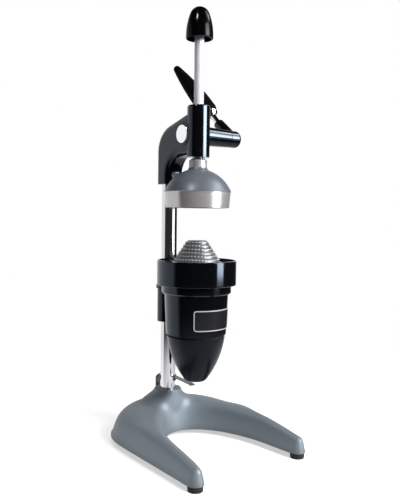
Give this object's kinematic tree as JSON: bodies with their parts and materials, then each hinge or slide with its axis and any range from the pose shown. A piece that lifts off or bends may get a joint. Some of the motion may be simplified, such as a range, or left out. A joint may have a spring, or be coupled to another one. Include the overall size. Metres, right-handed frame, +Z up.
{
  "type": "citrus press juicer",
  "caption": "Upright hand citrus press: a side lever drives a rack-and-pinion ram with a pressing dome down onto a strainer cone in a bowl above a pointed spout, on a horseshoe base.",
  "frame": {"origin": "on the table, under the pressing axis", "axes": "+Z up along the pressing axis, +Y to the back, towards the post, +X to the lever's side"},
  "size_m": [0.2292, 0.3368, 0.7155],
  "materials": {
    "base_paint": "satin blue-grey metallic paint",
    "black_gloss": "gloss black enamel",
    "black_plastic": "satin black plastic",
    "rubber": "matt black rubber",
    "chrome": "bright chromed steel",
    "steel": "plain steel",
    "dome_alloy": "satin cast aluminium with a polished band",
    "cone_steel": "stainless steel",
    "bronze": "sintered bronze",
    "plate_black": "bare black plate",
    "plate_silver": "bright rim"
  },
  "bodies": {
    "stand": {"base_casting": "base_paint", "foot_front_left": "rubber", "foot_front_right": "rubber", "foot_rear_left": "rubber", "foot_rear_right": "rubber", "foot_screws": "steel", "post_tube": "chrome", "post_plug": "steel", "post_washer": "steel", "post_bolt": "steel", "nose_spout": "black_gloss", "nose_gasket": "rubber", "cup_bracket": "black_gloss", "bracket_set_screws": "steel", "juice_bowl": "black_gloss", "strainer_cone": "cone_steel", "plate_frame": "plate_silver", "name_plate": "plate_black", "head_casting": "black_gloss", "head_set_screws": "steel", "ram_bush_upper": "bronze", "ram_bush_lower": "bronze", "pinion_bush": "bronze", "pinion_cap": "chrome", "pinion_cap_ring": "black_plastic"},
    "ram": {"ram_rack": "chrome", "ram_cap": "black_plastic", "pressing_dome": "dome_alloy", "dome_collar": "chrome", "collar_set_screw": "steel", "ram_buffer": "rubber", "dome_washer": "steel", "dome_screw": "steel"},
    "lever": {"pinion_shaft": "steel", "pinion_gear": "steel", "pinion_key": "steel", "thrust_washer": "steel", "lever_hub": "black_gloss", "hub_set_screw": "steel", "lever_rod": "chrome", "lever_ferrule": "chrome", "lever_grip": "black_plastic"},
    "drip_stop": {"drip_stop": "steel"}
  },
  "joints": [
    {"name": "ram_slide", "type": "slide", "parent": "stand", "child": "ram", "axis": [0, 0, -1], "range_m": [0, 0.084]},
    {"name": "lever_turn", "type": "hinge", "parent": "stand", "child": "lever", "pos_m": [0.084, 0.0195, 0.514], "axis": [1, 0, 0], "range_deg": [0, 321]},
    {"name": "drip_swing", "type": "hinge", "parent": "stand", "child": "drip_stop", "pos_m": [0, 0.08, 0.0975], "axis": [0, 0, 1], "range_deg": [-60, 60]}
  ],
  "couplings": [
    {"joint": "lever_turn", "follows": "ram_slide", "rad_per_m": 66.667}
  ]
}
